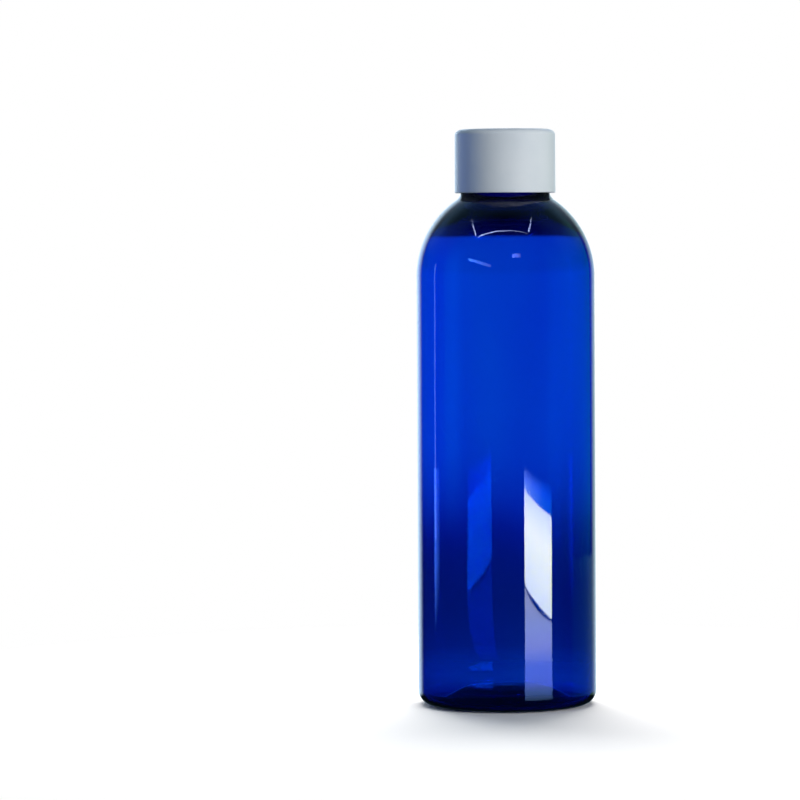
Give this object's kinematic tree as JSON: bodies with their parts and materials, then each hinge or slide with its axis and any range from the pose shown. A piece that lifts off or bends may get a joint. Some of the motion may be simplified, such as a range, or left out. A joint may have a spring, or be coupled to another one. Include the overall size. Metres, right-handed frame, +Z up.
{
  "type": "screw cap bottle",
  "caption": "Tall round see-through plastic bottle with a domed shoulder, a threaded neck, a plain white screw cap and a foam sealing liner.",
  "frame": {"origin": "on the bottle's axis, at the level of the ring it stands on", "axes": "+Z up along the axis, -Y to the front, where the upper end of the bottle's thread fades out"},
  "size_m": [0.0472, 0.0472, 0.1522],
  "materials": {
    "cobalt_pet": "glossy, see-through cobalt blue",
    "white_polypropylene": "smooth satin white",
    "white_foam": "fine closed-cell foam, matt"
  },
  "bodies": {
    "bottle": {"bottle": "cobalt_pet"},
    "liner": {"liner": "white_foam"},
    "cap": {"screw_cap": "white_polypropylene"}
  },
  "joints": [
    {"name": "cap_rise", "type": "slide", "parent": "bottle", "child": "liner", "axis": [0, 0, 1], "range_m": [0, 0.0254]},
    {"name": "cap_turn", "type": "hinge", "parent": "liner", "child": "cap", "pos_m": [0, 0, 0.1438], "axis": [0, 0, 1], "range_deg": [0, 2880]}
  ],
  "couplings": [
    {"joint": "cap_rise", "follows": "cap_turn", "m_per_rad": 0.00050532}
  ]
}
